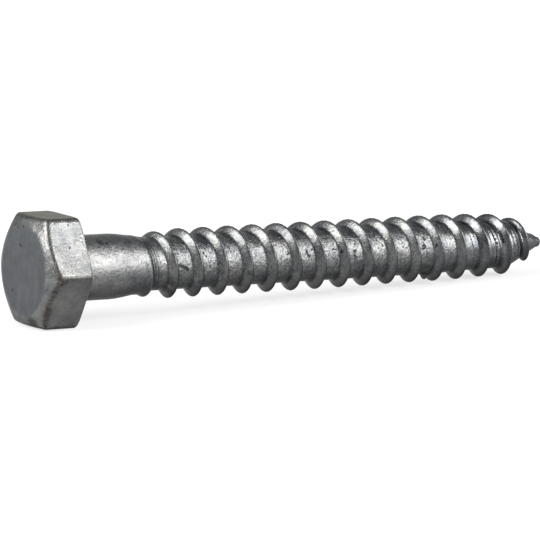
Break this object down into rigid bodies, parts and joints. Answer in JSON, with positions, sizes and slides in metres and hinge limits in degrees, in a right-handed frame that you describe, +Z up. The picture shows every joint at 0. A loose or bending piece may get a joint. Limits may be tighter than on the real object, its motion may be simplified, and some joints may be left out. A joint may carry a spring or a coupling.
{
  "type": "lag screw",
  "caption": "Hexagon head wood screw in galvanised steel: a chamfered hexagon head, a short plain shank that draws down to a coarse thread, and a blunt cone point.",
  "frame": {"origin": "middle of the box at floor level, with the screw lying on one flat of its head and on its thread", "axes": "+X along the screw towards its point, which lies 2.47 degrees lower than its head; +Z up"},
  "size_m": [0.107, 0.0218, 0.0192],
  "materials": {
    "galvanised_steel": "hot-dip galvanised: mottled grey zinc, half bright and half dull, rough in the thread, with dark flux spots and small zinc lumps"
  },
  "bodies": {
    "root": {"lag_screw": "galvanised_steel"}
  },
  "joints": []
}
